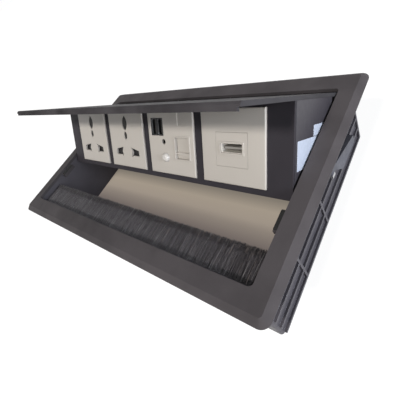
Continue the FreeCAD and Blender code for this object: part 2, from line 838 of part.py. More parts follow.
# Module box under the lid
def make_box():
    shell = block("shell_outer", (-box_half, box_half), (fascia_back, cover_front), (box_floor, lid_under))
    inner = box_half - S.box_wall
    hollow_y = (fascia_back - OVERCUT, cover_front + OVERCUT)
    hollow = block("shell_hollow", (-inner, inner), hollow_y, (inner_floor, inner_top))
    added, tools = [cut("shell_tube", shell, hollow)], []
    for i, (x, z) in enumerate(cover_screw_places()):
        start = (x, cover_front - S.cover_boss_length, z)
        added.append(rod(f"cover_boss_{i}", S.cover_boss, start, S.cover_boss_length, "y"))
        start = (x, cover_front - S.cover_screw_bite, z)
        tools.append(rod(f"cover_bore_{i}", S.screw_radius, start, S.cover_screw_bite + OVERCUT, "y"))
    for i, (x, y) in enumerate(lid_screw_places()):
        start = (x, y, inner_top - OVERCUT)
        hole = S.lid_screw_radius + S.fit_gap
        tools.append(rod(f"shell_hole_{i}", hole, start, S.box_wall + 2 * OVERCUT))
    keep("module_box", cut("shell_cut", fuse("shell_whole", *added), *tools), opens=True)


def cover_screw_places():
    inset = S.cover_boss - S.fit_gap
    x = box_half - S.box_wall - inset
    return [(sign * x, z) for sign in (-1, 1) for z in (inner_floor + inset, inner_top - inset)]


def make_lid_screws():
    screws = []
    for i, (x, y) in enumerate(lid_screw_places()):
        foot = (x, y, inner_top - S.lid_screw_head_high)
        reach = S.lid_screw_head_high + S.box_wall + S.lid_screw_bite
        shank = rod(f"lid_screw_shank_{i}", S.lid_screw_radius, foot, reach)
        head = rod(f"lid_screw_head_{i}", S.lid_screw_head, foot, S.lid_screw_head_high)
        slots = cross_slots(f"lid_screw_{i}", foot, "z", S.lid_screw_head * CROSS_SHARE)
        screws.append(cut(f"lid_screw_{i}", fuse(f"lid_screw_blank_{i}", shank, head), *slots))
    keep("lid_screws", group("lid_screw_group", screws), opens=True)


def make_fascia():
    body = new_body("fascia_body")
    opening = module_half + S.fit_gap
    outlines = [oblong((-box_half, box_half), (box_floor, lid_under))]
    outlines += [oblong(around(x, opening), around(plate_z, opening)) for x in plate_places]
    pad(body, sketch_on(body, "fascia_outline", "XZ_Plane", -fascia_back, *outlines), S.fascia_thick)
    keep("fascia", body, opens=True)


def make_rear_cover():
    panel = block("cover_panel", (-box_half, box_half), (cover_front, box_back), (box_floor, lid_under))
    front = cover_front - OVERCUT
    through = S.cover_thick + 2 * OVERCUT
    grommet_seat = S.grommet_radius - S.grommet_groove
    tools = [
        rod("gland_hole", gland_neck, (-S.gland_offset, front, gland_z), through, "y"),
        rod("grommet_hole", grommet_seat, (S.gland_offset, front, gland_z), through, "y"),
    ]
    hole = S.screw_radius + S.fit_gap
    screws = []
    for i, (x, z) in enumerate(cover_screw_places()):
        start = (x, box_back, z)
        tools.append(rod(f"cover_hole_{i}", hole, (x, front, z), through, "y"))
        sink = (S.screw_head_radius + S.fit_gap, hole, start, S.screw_head_depth, "-y")
        tools.append(cone(f"cover_sink_{i}", *sink))
        screws.append(countersunk(f"cover_screw_{i}", start, "-y", S.cover_thick + S.cover_screw_bite))
    keep("rear_cover", cut("cover_cut", panel, *tools), opens=True)
    keep("cover_screws", group("cover_screw_group", screws), opens=True)


def make_cable_entries():
    x = -S.gland_offset
    nut_front = cover_front - S.gland_nut_thick
    half = S.gland_length / 2
    neck = rod("neck", gland_neck, (x, nut_front, gland_z), box_back - nut_front + half, "y")
    flange = rod("gland_flange", S.gland_radius, (x, box_back, gland_z), half, "y")
    dome = cone("gland_dome", S.gland_radius, gland_neck, (x, box_back + half, gland_z), half, "y")
    bore_length = S.cover_thick + S.gland_nut_thick + S.gland_length + 2 * OVERCUT
    bore = rod("gland_through", S.gland_bore, (x, nut_front - OVERCUT, gland_z), bore_length, "y")
    keep("mains_gland", cut("gland_cut", fuse("gland_whole", neck, flange, dome), bore), opens=True)
    start = (x, nut_front, gland_z)
    nut = rod("gland_nut_disc", S.gland_radius + S.gland_nut_lap, start, S.gland_nut_thick, "y")
    eye = rod("gland_nut_eye", gland_neck, start, S.gland_nut_thick, "y")
    keep("gland_nut", cut("gland_nut_cut", nut, eye), opens=True)

    x = S.gland_offset
    start = (x, cover_front - S.grommet_lip, gland_z)
    reach = S.cover_thick + 2 * S.grommet_lip
    ring = rod("grommet_ring", S.grommet_radius, start, reach, "y")
    eye = rod("grommet_eye", S.grommet_bore, start, reach, "y")
    seat = (x, cover_front, gland_z)
    groove_outer = rod("groove_outer", S.grommet_radius + OVERCUT, seat, S.cover_thick, "y")
    groove_inner = rod("groove_inner", S.grommet_radius - S.grommet_groove, seat, S.cover_thick, "y")
    groove = cut("grommet_groove", groove_outer, groove_inner)
    keep("data_grommet", cut("grommet_cut", ring, eye, groove), opens=True)


def make_terminals():
    half = S.terminal_length / 2
    x = S.terminal_shift - S.gland_offset
    back = cover_front - S.terminal_inset
    front = back - S.terminal_size
    top = inner_floor + S.terminal_size
    body = block("terminal_body", around(x, half), (front, back), (inner_floor, top))
    pitch = S.terminal_length / 3
    middle_y = (front + back) / 2
    wire_z = inner_floor + S.wire_hole * 2
    tools, screws = [], []
    for i in (-1, 0, 1):
        well_z = wire_z + S.wire_hole + S.play
        start = (x + pitch * i, middle_y, well_z)
        wire = (x + pitch * i, front - OVERCUT, wire_z)
        tools.append(rod(f"wire_hole_{i + 1}", S.wire_hole, wire, S.terminal_size + 2 * OVERCUT, "y"))
        tools.append(rod(f"screw_well_{i + 1}", S.terminal_well, start, top - well_z + OVERCUT))
        radius = S.terminal_well - S.fit_gap
        screws.append(rod(f"terminal_screw_{i + 1}", radius, start, S.terminal_screw_high))
    keep("terminal_block", cut("terminal_cut", body, *tools), opens=True)
    keep("terminal_screws", group("terminal_screw_group", screws), opens=True)


def make_labels():
    """Two bare sticker blanks on the right end of the box."""
    x = (box_half, box_half + S.label_thick)
    rear = axis_y - S.label_rear
    large_z = (lid_under - S.label_drop - S.label_high, lid_under - S.label_drop)
    keep("label_rating_blank", block("large_label", x, (rear - S.label_length, rear), large_z), opens=True)
    small_z = (lid_under - S.small_label_drop - S.small_label_high, lid_under - S.small_label_drop)
    small_y = (rear - S.small_label_length, rear)
    keep("label_small_blank", block("small_label", x, small_y, small_z), opens=True)


# Modules on the fascia. Their depths are measured behind the fascia's front face.
plate_places = [S.plate_shift + plate_pitch * step for step in PLATE_STEPS]
plate_front = -S.plate_proud
before_plate = plate_front - OVERCUT
behind_plate = numbered(OVERCUT)


def pane(name, x, z, wide, high, front, back):
    """A rectangular block about a centre on the fascia, between two depths."""
    return block(name, around(x, wide / 2), (face_y + front, face_y + back), around(z, high / 2))


def plug(name, x, z, radius, front, back):
    """A round rod about a centre on the fascia, between two depths."""
    return rod(name, radius, (x, face_y + front, z), numbered(back) - front, "y")


def leaf(name, x, z, width, height, front, back):
    """An upright leaf: what two equal round rods have in common."""
    radius = (width * width + height * height) / (4 * width)
    shift = radius - width / 2
    thing = doc.addObject("Part::MultiCommon", name)
    thing.Shapes = [
        plug(f"{name}_left", x - shift, z, radius, front, back),
        plug(f"{name}_right", x + shift, z, radius, front, back),
    ]
    return thing


def plate_blank(name, x):
    """A square plate proud of the fascia, with a skirt through its opening, edges still sharp."""
    inner = S.skirt_size - 2 * S.skirt_wall
    plate = pane(f"{name}_plate", x, plate_z, plate_size, plate_size, plate_front, 0)
    skirt = pane(f"{name}_skirt", x, plate_z, S.skirt_size, S.skirt_size, plate_front / 2, S.skirt_depth)
    hollow = pane(f"{name}_hollow", x, plate_z, inner, inner, 0, S.skirt_depth + OVERCUT)
    whole = cut(f"{name}_shell", fuse(f"{name}_solid", plate, skirt), hollow)
    return soften(f"{name}_edges", whole, face_y + plate_front, S.plate_edge)


# The pin hole's corners from its middle, as shares of its half width and half height
PIN_HOLE_CORNERS = ((-1.0, 1.0), (0.92, 0.42), (1.0, -0.68), (-0.4, -0.68), (-0.92, -1.0), (-0.68, 0.05))


def pin_hole(name, x, sign):
    """A skewed slot with a nose at its foot, for the flat pins and round pins of several plugs."""
    middle = plate_z - S.pin_hole_drop
    outline = []
    for u, v in PIN_HOLE_CORNERS:
        across = S.pin_hole_offset + u * S.pin_hole_wide / 2
        outline.append((x + sign * across, middle + v * S.pin_hole_high / 2))
    body = new_body(name)
    back = face_y + behind_plate
    sketch = sketch_on(body, f"{name}_outline", "XZ_Plane", -back, outline)
    return pad(body, sketch, behind_plate - before_plate)


def make_socket(number, x):
    name = f"socket_{number}"
    leaf_z = plate_z + module_half - S.earth_inset
    small_z = leaf_z - S.small_leaf_drop
    through = (before_plate, behind_plate)
    tools = [
        leaf(f"{name}_leaf", x, leaf_z, S.leaf_width, S.leaf_height, *through),
        leaf(f"{name}_small", x, small_z, S.small_leaf_width, S.small_leaf_height, *through),
        pin_hole(f"{name}_line_hole", x, 1),
        pin_hole(f"{name}_neutral_hole", x, -1),
    ]
    keep(f"socket_face_{number}", cut(f"{name}_face", plate_blank(name, x), *tools), opens=True)
    make_earth_insert(number, name, x, leaf_z, small_z)
    make_socket_shutter(number, name, x)
    make_socket_base(number, name, x, leaf_z)


def make_earth_insert(number, name, x, leaf_z, small_z):
    """The grey piece that fills the two leaf-shaped slots from behind."""
    deep = (plate_front + S.insert_recess, S.insert_back)
    gap = 2 * S.fit_gap
    low = small_z - S.small_leaf_height / 2
    high = leaf_z + S.leaf_height / 2
    small = (S.small_leaf_width - gap, S.small_leaf_height - gap)
    backing_wide = S.leaf_width + 2 * S.insert_lap
    added = [
        leaf(f"{name}_leaf_fill", x, leaf_z, S.leaf_width - gap, S.leaf_height - gap, *deep),
        leaf(f"{name}_small_fill", x, small_z, *small, *deep),
        pane(f"{name}_backing", x, (low + high) / 2, backing_wide, high - low + gap, 0, S.insert_back),
    ]
    keep(f"earth_insert_{number}", fuse(f"{name}_insert", *added), opens=True)


def make_socket_shutter(number, name, x):
    """Two blades behind the pin holes, joined by a bar under the earth insert. It slides up."""
    near = S.shutter_gap
    far = near + S.shutter_thick
    z = plate_z - S.pin_hole_drop
    bar_high = S.shutter_bar
    across = S.pin_hole_offset + S.play
    bar_z = z - (S.blade_height - bar_high) / 2
    added = [
        pane(f"{name}_blade_left", x - across, z, S.blade_width, S.blade_height, near, far),
        pane(f"{name}_blade_right", x + across, z, S.blade_width, S.blade_height, near, far),
        pane(f"{name}_bridge", x, bar_z, across * 2, bar_high, near, far),
    ]
    keep(f"shutter_{number}", fuse(f"{name}_shutter", *added), opens=True)


def make_socket_base(number, name, x, leaf_z):
    """The block behind the plate, with a pocket for each of the three contacts."""
    inner = S.skirt_size - 2 * S.skirt_wall - 2 * S.play
    added = [
        pane(f"{name}_base_nose", x, plate_z, inner, inner, S.base_front, S.skirt_depth),
        pane(f"{name}_base_body", x, plate_z, S.skirt_size, S.skirt_size, S.skirt_depth, S.base_depth),
    ]
    pin_z = plate_z - S.pin_hole_drop
    places = (
        ("line", x + S.pin_hole_offset, pin_z, S.pin_hole_high, S.pin_hole_high),
        ("neutral", x - S.pin_hole_offset, pin_z, S.pin_hole_high, S.pin_hole_high),
        ("earth", x, leaf_z, S.leaf_width + S.contact_wall, S.leaf_height),
    )
    tools, contacts = [], []
    for pole, cx, cz, w, h in places:
        tools.append(pane(f"{name}_pocket_{pole}", cx, cz, w, h, S.base_front - OVERCUT, S.contact_end))
        w, h = w - S.play, h - S.play
        outer = pane(f"{name}_clip_{pole}", cx, cz, w, h, S.contact_start, S.contact_end)
        gap = w - 2 * S.contact_wall
        inside = pane(f"{name}_grip_{pole}", cx, cz, gap, h, S.contact_start, S.contact_end - S.contact_wall)
        contacts.append(cut(f"{name}_contact_{pole}", outer, inside))
    keep(f"socket_base_{number}", cut(f"{name}_base", fuse(f"{name}_base_blank", *added), *tools), opens=True)
    keep(f"socket_contacts_{number}", group(f"{name}_contacts", contacts), opens=True)


def make_data_module(x):
    usb = (x - module_half + S.usb_inset, plate_z + S.usb_rise)
    jack = (x - S.jack_left, plate_z + S.jack_rise)
    button = (x - S.button_left, plate_z - S.button_drop)
    net = (x + module_half - S.net_inset, plate_z - S.net_drop)
    mark = (net[0], plate_z + S.mark_rise)
    window = (S.net_wide - 2 * S.net_rim, S.net_high - 2 * S.net_rim)
    rim_front = plate_front - S.net_rim_proud
    rim = pane("net_rim_block", *net, S.net_wide, S.net_high, rim_front, plate_front / 2)
    tools = [
        pane("usb_window", *usb, S.usb_wide, S.usb_high, before_plate, behind_plate),
        plug("jack_window", *jack, S.jack_radius + S.fit_gap, before_plate, behind_plate),
        plug("button_window", *button, S.button_radius + S.fit_gap, before_plate, behind_plate),
        pane("net_window", *net, *window, before_plate, behind_plate),
        pane("mark_field", *mark, S.mark_wide, S.mark_high, before_plate, plate_front + S.mark_depth),
    ]
    blank = fuse("data_blank", plate_blank("data", x), rim)
    keep("data_face", cut("data_face_cut", blank, *tools), opens=True)
    make_charging_ports(*usb)
    make_audio_jack(*jack)
    make_push_button(*button)
    make_network_port(net, *window)
    make_charger_board(x, usb, jack, button, net)


def make_charging_ports(x, z):
    """One dark housing with two upright ports, each a metal shell round a tongue."""
    gap = 2 * S.fit_gap
    border = 2 * S.usb_border
    end = S.usb_depth
    back = end + S.usb_back
    front = plate_front + S.usb_recess
    added = [
        pane("usb_nose", x, z, S.usb_wide - gap, S.usb_high - gap, front, behind_plate),
        pane("usb_body", x, z, S.usb_wide + border, S.usb_high + border, 0, back),
    ]
    wide, high = S.usb_slot_wide, S.usb_slot_high
    wall = 2 * S.shell_wall
    slots, shells, tongues = [], [], []
    for i, sign in enumerate((-1, 1)):
        sx = x + sign * S.usb_slot_pitch / 2
        slots.append(pane(f"usb_slot_{i}", sx, z, wide, high, before_plate, end))
        outer = pane(f"usb_outer_{i}", sx, z, wide - S.fit_gap, high - S.fit_gap, front + S.play, end)
        hollow_end = end - S.shell_wall
        hollow = (wide - S.fit_gap - wall, high - S.fit_gap - wall, before_plate, hollow_end)
        shells.append(cut(f"usb_shell_{i}", outer, pane(f"usb_inner_{i}", sx, z, *hollow)))
        tall = high - S.tongue_thick
        tongues.append(pane(f"usb_tongue_{i}", sx, z, S.tongue_thick, tall, S.play, hollow_end))
    keep("usb_housing", cut("usb_housing_cut", fuse("usb_blank", *added), *slots), opens=True)
    keep("usb_shells", group("usb_shell_pair", shells), opens=True)
    keep("usb_tongues", group("usb_tongue_pair", tongues), opens=True)


def make_audio_jack(x, z):
    body = pane("jack_body", x, z, S.jack_wide, S.jack_high, 0, S.jack_depth)
    bore = plug("jack_bore", x, z, S.jack_radius, before_plate, S.jack_depth + OVERCUT)
    keep("audio_jack", cut("audio_jack_cut", body, bore), opens=True)


def make_push_button(x, z):
    """A domed cap held by a collar behind the plate, and the small switch it presses."""
    cap_front = plate_front - S.button_proud
    foot = S.button_shank
    collar_back = S.fit_gap + S.button_collar_thick
    shank = plug("button_shank", x, z, S.button_radius, cap_front, foot)
    collar = plug("button_flange", x, z, S.button_radius + S.button_collar, S.fit_gap, collar_back)
    plunger = fuse("button_whole", shank, collar)
    keep("push_button", soften("button_cap", plunger, face_y + cap_front, S.button_dome), opens=True)
    front = foot + S.button_travel + S.fit_gap
    switch = pane("switch_body", x, z, S.switch_size, S.switch_size, front, front + S.switch_depth)
    keep("button_switch", switch, opens=True)


def make_network_port(net, window_wide, window_high):
    """A jack behind a shutter that slides up. The grip on the shutter shows in the window."""
    x, z = net
    near = S.shutter_gap
    far = near + S.shutter_thick
    lap = 2 * S.net_lap
    grip_wide = window_wide - 2 * S.play
    added = [
        pane("net_leaf", x, z, window_wide + lap, window_high + lap, near, far),
        pane("net_grip", x, z - S.net_grip_drop, grip_wide, S.net_grip_high, plate_front + S.play, far),
    ]
    keep("network_shutter", fuse("net_shutter", *added), opens=True)
    front = far + S.play
    back = S.net_depth + S.net_wall
    wide = window_wide + 2 * S.net_wall
    high = window_high + 2 * S.net_wall
    mouth_z = z - S.port_mouth_drop
    mouth_top = mouth_z + S.port_mouth_high / 2
    latch_z = mouth_z - (S.port_mouth_high + S.latch_high) / 2
    tools = [
        pane("net_mouth", x, mouth_z, S.port_mouth_wide, S.port_mouth_high, front - OVERCUT, S.net_depth),
        pane("net_latch", x, latch_z, S.latch_wide, S.latch_high, front - OVERCUT, S.net_depth),
    ]
    body = pane("net_block", x, z, wide, high, front, back)
    keep("network_jack", cut("net_jack_cut", body, *tools), opens=True)
    wires = []
    for i in range(NETWORK_WIRES):
        wire_x = x + S.wire_pitch * (i - (NETWORK_WIRES - 1) / 2)
        wire_z = mouth_top - S.wire_size / 2
        wire = (wire_x, wire_z, S.wire_size, S.wire_size, front + OVERCUT, S.net_depth)
        wires.append(pane(f"net_wire_{i}", *wire))
    keep("network_contacts", group("net_wires", wires), opens=True)


def make_carrier(name, x, board_front):
    """The square ring that holds a module's board behind its plate."""
    ring = pane(f"{name}_ring", x, plate_z, S.skirt_size, S.skirt_size, S.skirt_depth, board_front)
    hole = carrier_hole * 2
    inside = pane(f"{name}_ring_hole", x, plate_z, hole, hole, S.skirt_depth - OVERCUT, board_front + OVERCUT)
    keep(f"{name}_carrier", cut(f"{name}_carrier_cut", ring, inside), opens=True)


def make_charger_board(x, usb, jack, button, net):
    front = S.charger_depth
    back = front + S.board_thick
    size = S.post_size
    switch_back = S.button_shank + S.button_travel + S.fit_gap + S.switch_depth
    added = [
        pane("charger_card", x, plate_z, board_size, board_size, front, back),
        pane("usb_post", *usb, size, size, S.usb_depth + S.usb_back, front),
        pane("jack_post", *jack, size, size, S.jack_depth, front),
        pane("switch_post", *button, size, size, switch_back, front),
        pane("net_post", *net, size, size, S.net_depth + S.net_wall, front),
    ]
    keep("charger_board", fuse("charger_blank", *added), opens=True)
    size = S.transformer_size
    block_back = back + S.transformer_deep
    transformer = pane("transformer_block", x, plate_z, size, size, back, block_back)
    keep("charger_transformer", transformer, opens=True)
    make_carrier("data", x, front)


def make_video_module(x):
    insert = (x, plate_z - S.video_drop)
    port = (x, insert[1] + S.port_rise)
    wide, high = S.video_insert_wide, S.video_insert_high
    gap = 2 * S.fit_gap
    window = pane("video_window", *insert, wide + gap, high + gap, before_plate, behind_plate)
    keep("video_face", cut("video_face_cut", plate_blank("video", x), window), opens=True)
    lap = 2 * S.video_flange
    lip = 2 * S.port_lip
    lip_front = plate_front - S.port_lip_proud
    added = [
        pane("video_slab", *insert, wide, high, plate_front, behind_plate),
        pane("video_flange", *insert, wide + lap, high + lap, 0, S.base_front),
        pane("video_lip", *port, S.port_wide + lip, S.port_high + lip, lip_front, 0),
    ]
    hole = pane("video_hole", *port, S.port_wide, S.port_high, before_plate, S.base_front + OVERCUT)
    keep("video_insert", cut("video_insert_cut", fuse("video_blank", *added), hole), opens=True)
    end = S.port_depth
    wide, high = S.port_wide - S.fit_gap, S.port_high - S.fit_gap
    wall = 2 * S.shell_wall
    shell = pane("port_outer", *port, wide, high, plate_front + S.port_recess, end)
    hollow_end = end - S.shell_wall
    hollow = pane("port_inner", *port, wide - wall, high - wall, before_plate, hollow_end)
    keep("video_port", cut("video_port_cut", shell, hollow), opens=True)
    tongue_wide = S.port_wide - 2 * S.port_tongue_thick
    tongue = pane("port_tongue", *port, tongue_wide, S.port_tongue_thick, S.play, hollow_end)
    keep("video_tongue", tongue, opens=True)
    board = pane("video_card", x, plate_z, board_size, board_size, end, end + S.board_thick)
    keep("video_board", board, opens=True)
    make_carrier("video", x, end)


# Clamps on the two ends of the tub
def make_clamps():
    """Each screw hangs by its head in an ear of the tub and is turned from its lower end."""
    screws = []
    half = S.arm_thick / 2
    tip = arm_pivot + S.arm_length
    tip_top = arm_top - S.arm_tip_drop
    nut_z = (arm_foot - S.nut_high, arm_foot)
    for side, sign in SIDES:
        x = sign * clamp_x
        side_view = [
            (arm_pivot, arm_top),
            (tip, tip_top),
            (tip, tip_top - S.arm_tip_high),
            (arm_pivot + S.arm_heel_length, arm_foot - S.arm_heel_drop),
            (arm_pivot + heel_start, arm_foot),
            (arm_pivot, arm_foot),
        ]
        body = new_body(f"arm_{side}_body")
        pad(body, sketch_on(body, f"arm_{side}_view", "YZ_Plane", x, side_view), S.arm_thick, both_ways=True)
        nose = rod(f"arm_{side}_nose", half, (x, arm_pivot, arm_foot), S.arm_head_high)
        start = (x, arm_pivot, arm_foot - OVERCUT)
        eye = rod(f"arm_{side}_eye", clamp_hole, start, S.arm_head_high + 2 * OVERCUT)
        keep(f"clamp_arm_{side}", cut(f"arm_{side}_cut", fuse(f"arm_{side}_blank", body, nose), eye))
        nut = block(f"nut_{side}_block", around(x, half), around(arm_pivot, half), nut_z)
        start = (x, arm_pivot, nut_z[0] - OVERCUT)
        eye = rod(f"nut_{side}_eye", clamp_hole, start, S.nut_high + 2 * OVERCUT)
        keep(f"clamp_nut_{side}", cut(f"nut_{side}_cut", nut, eye))
        foot = (x, arm_pivot, nut_z[0] - S.clamp_screw_end)
        head_start = (x, arm_pivot, -S.ear_top)
        shank = rod(f"clamp_shank_{side}", S.clamp_screw_radius, foot, head_start[2] - foot[2] + S.play)
        head = rod(f"clamp_head_{side}", S.clamp_head_radius, head_start, S.clamp_head_high)
        slots = cross_slots(f"clamp_screw_{side}", foot, "z", S.clamp_screw_radius * CROSS_SHARE)
        screws.append(cut(f"clamp_screw_{side}", fuse(f"clamp_blank_{side}", shank, head), *slots))
    keep("clamp_screws", group("clamp_screw_group", screws))


def check_pieces():
    doc.recompute()
    bad = [thing.Name for thing in doc.Objects if {"Invalid", "Error"} & set(thing.State)]
    if bad:
        raise RuntimeError(f"these objects failed: {bad}")
    for label, thing in pieces:
        if thing.Shape.isNull() or not thing.Shape.isValid() or not thing.Shape.Solids:
            raise RuntimeError(f"{label} has no valid solid")


make_bezel_frame()
make_rest_pads()
make_tub()
make_frame_screws()
make_brush()
make_hinge()
make_lid()
make_box()
make_lid_screws()
make_fascia()
make_rear_cover()
make_cable_entries()
make_terminals()
make_labels()
make_socket(1, plate_places[0])
make_socket(2, plate_places[1])
make_data_module(plate_places[2])
make_video_module(plate_places[3])
make_clamps()
check_pieces()

os.makedirs("parts", exist_ok=True)
for label, thing in pieces:
    thing.Shape.exportStep(f"parts/{label}.step")
    print(f"{label}: {len(thing.Shape.Solids)} solids, {thing.Shape.Volume:.0f} mm3")
print(f"{len(pieces)} pieces")
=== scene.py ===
import json
import math
import random

import bpy
from mathutils import Matrix, Vector


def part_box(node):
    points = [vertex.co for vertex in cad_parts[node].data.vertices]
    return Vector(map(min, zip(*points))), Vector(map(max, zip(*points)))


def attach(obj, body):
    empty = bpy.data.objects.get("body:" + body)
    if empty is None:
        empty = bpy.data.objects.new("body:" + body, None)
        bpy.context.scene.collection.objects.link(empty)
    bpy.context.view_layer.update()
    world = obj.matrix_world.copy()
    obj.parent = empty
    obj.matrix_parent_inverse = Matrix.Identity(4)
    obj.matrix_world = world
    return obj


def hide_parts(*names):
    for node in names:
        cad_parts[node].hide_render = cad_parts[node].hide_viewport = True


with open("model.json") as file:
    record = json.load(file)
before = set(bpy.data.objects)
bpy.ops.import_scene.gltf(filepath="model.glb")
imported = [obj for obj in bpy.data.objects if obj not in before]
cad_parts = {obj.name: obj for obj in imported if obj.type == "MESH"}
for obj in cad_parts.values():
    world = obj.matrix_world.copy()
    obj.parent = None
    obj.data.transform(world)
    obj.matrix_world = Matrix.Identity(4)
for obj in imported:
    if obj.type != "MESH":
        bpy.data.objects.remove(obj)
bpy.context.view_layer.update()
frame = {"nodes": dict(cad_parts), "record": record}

# Lengths are in metres: +X right, +Y to the hinge, +Z up.
nodes = frame["nodes"]
scene = bpy.context.scene
tub_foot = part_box("tub")[0].z
bristle_low, bristle_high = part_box("brush_bristles")

# Colours, linear
DARK_COAT = (0.0605, 0.0550, 0.0580)
LID_COAT = (0.040, 0.038, 0.041)
# Painted shade for the forward faces of the lid's lip, a coat with less sheen than the lid's
LIP_PAINTED_SHADE = (0.050, 0.0465, 0.050)
TUB = (0.064, 0.060, 0.069)
# Painted highlight: a lighter colour for the tub's rounded edges
TUB_EDGE_PAINTED_HIGHLIGHT = (0.19, 0.184, 0.213)
BOX = (0.036, 0.033, 0.040)
FASCIA = (0.032, 0.0290, 0.0345)
PLATE = (0.435, 0.405, 0.368)
INSERT = (0.018, 0.017, 0.0155)
BLACK = (0.012, 0.011, 0.012)
CAP = (0.53, 0.508, 0.482)
STEEL = (0.50, 0.50, 0.51)
DARK_STEEL = (0.17, 0.17, 0.175)
PORT_STEEL = (0.78, 0.74, 0.68)
TONGUE = (0.22, 0.21, 0.195)
BRASS = (0.55, 0.38, 0.15)
CAST = (0.088, 0.090, 0.110)
RUBBER = (0.02, 0.02, 0.02)
FIBRE = (0.070, 0.063, 0.071)
PALE_FIBRE = (0.22, 0.21, 0.22)
STICKER = (0.46, 0.505, 0.60)
BOARD = (0.02, 0.09, 0.04)
FLOOR = (0.66, 0.65, 0.64)
FLOOR_SHADOW = (0.22, 0.22, 0.22)
# Painted shade for the floor inside the tub, from the brush (0) to the box (1), darker near each
FLOOR_PAINTED_SHADE_IN_TUB = [
    (0.00, (0.190, 0.158, 0.146)),
    (0.26, (0.290, 0.247, 0.212)),
    (0.48, (0.366, 0.312, 0.259)),
    (0.74, (0.387, 0.331, 0.268)),
    (1.00, (0.235, 0.207, 0.171)),
]
WHITE = (1.0, 1.0, 1.0)
SKY = (0.95, 0.97, 1.0)
SUNLIGHT = (1.0, 0.965, 0.92)
COOL = (0.88, 0.93, 1.0)
WARM = (1.0, 0.93, 0.86)

# Node trees: a new stop of a ramp starts in the middle and then gets its own place
NEW_STOP = 0.5


def add_node(tree, kind, entries=None, operation=None):
    """A new shader node. Each entry gets a value, or a link where the value is an output."""
    node = tree.nodes.new("ShaderNode" + kind)
    if operation:
        node.operation = operation
    for entry, value in (entries or {}).items():
        if isinstance(value, bpy.types.NodeSocket):
            tree.links.new(value, node.inputs[entry])
        else:
            node.inputs[entry].default_value = value
    return node


def calculate(tree, operation, *values):
    """The result of one operation on numbers and outputs."""
    return add_node(tree, "Math", dict(enumerate(values)), operation).outputs["Value"]


def along(tree, place, axis):
    """One coordinate of a place."""
    return add_node(tree, "SeparateXYZ", {"Vector": place}).outputs[axis]


def rescaled(tree, source, span, levels):
    """The source, taken from its span to the two levels."""
    ends = {"From Min": span[0], "From Max": span[1], "To Min": levels[0], "To Max": levels[1]}
    return add_node(tree, "MapRange", {"Value": source, **ends}).outputs["Result"]


def color_ramp(tree, source, stops):
    """A colour that goes from stop to stop as the source goes from 0 to 1."""
    node = add_node(tree, "ValToRGB", {"Fac": source})
    elements = node.color_ramp.elements
    while len(elements) < len(stops):
        elements.new(NEW_STOP)
    for element, (position, color) in zip(elements, stops):
        element.position = position
        element.color = (*color, 1)
    return node.outputs["Color"]


def mixed(tree, share, first, second):
    """Two shaders in one: the second by its share, the first by the rest."""
    return add_node(tree, "MixShader", {"Fac": share, 1: first, 2: second}).outputs["Shader"]


def diffuse(tree, color):
    return add_node(tree, "BsdfDiffuse", {"Color": color}).outputs["BSDF"]


def glow(tree, color, strength=1.0):
    return add_node(tree, "Emission", {"Color": color, "Strength": strength}).outputs["Emission"]


# Materials
MATERIALS = {}
NOISE_SPAN = (0.3, 0.7)
NOISE_MIDDLE = 0.5
COAT_INDEX = 1.15
# Painted light on every powder coat: lighter towards the right end of the object
COAT_PAINTED_LIGHT_SLOPE = 1.4
MOULD_SPREAD = 0.06
BRUSHED_SMOOTHER = 0.08
BRUSHED_ROUGHER = 0.12
DARK_HAIR_SHARE = 0.5
HAIR_SHEEN = 0.15

# Stretch of a noise: it gets finer along the axis that has the larger number
ACROSS_X = (14, 1, 1)
ACROSS_Y = (1, 14, 1)
ACROSS_Z = (1, 1, 14)
HAIRS_ALONG_Y = (1, 0.02, 0.4)


class Look:
    """One Principled surface, kept in MATERIALS, with helpers for the noise that varies it."""

    def __init__(self, name, rough, metallic=0.0, coat=0.0, specular=0.5):
        material = bpy.data.materials.new(name)
        material.use_nodes = True
        MATERIALS[name] = material
        self.tree = material.node_tree
        self.surface = self.tree.nodes["Principled BSDF"]
        self.set("Metallic", metallic)
        self.set("Roughness", rough)
        self.set("Coat Weight", coat)
        self.set("Specular IOR Level", specular)
        self.place = add_node(self.tree, "TexCoord").outputs["Object"]
        self.normal = None

    def set(self, entry, value):
        self.surface.inputs[entry].default_value = value

    def link(self, source, entry):
        self.tree.links.new(source, self.surface.inputs[entry])

    def noise(self, scale, detail, stretch=None):
        place = self.place
        if stretch:
            place = add_node(self.tree, "Mapping", {"Vector": place, "Scale": stretch}).outputs["Vector"]
        entries = {"Vector": place, "Scale": scale, "Detail": detail}
        return add_node(self.tree, "TexNoise", entries).outputs["Fac"]

    def cells(self, scale):
        entries = {"Vector": self.place, "Scale": scale}
        return add_node(self.tree, "TexVoronoi", entries).outputs["Distance"]

    def painted_light_to_right(self, source, slope):
        """The source, a little lower at the left of the object and higher at its right, for painted
        light.
        """
        return calculate(self.tree, "MULTIPLY_ADD", along(self.tree, self.place, "X"), slope, source)

    def color(self, source, color, spread):
        """The colour, a little darker and lighter from place to place."""
        darker = tuple(c * (1 - spread) for c in color)
        lighter = tuple(min(1.0, c * (1 + spread)) for c in color)
        stops = [(NOISE_SPAN[0], darker), (NOISE_MIDDLE, color), (NOISE_SPAN[1], lighter)]
        self.link(color_ramp(self.tree, source, stops), "Base Color")

    def rough(self, source, low, high):
        self.link(rescaled(self.tree, source, NOISE_SPAN, (low, high)), "Roughness")

    def bump(self, source, strength, distance):
        """Fine relief, on top of the relief that the surface already has."""
        entries = {"Height": source, "Strength": strength, "Distance": distance}
        if self.normal is not None:
            entries["Normal"] = self.normal
        self.normal = add_node(self.tree, "Bump", entries).outputs["Normal"]
        self.link(self.normal, "Normal")


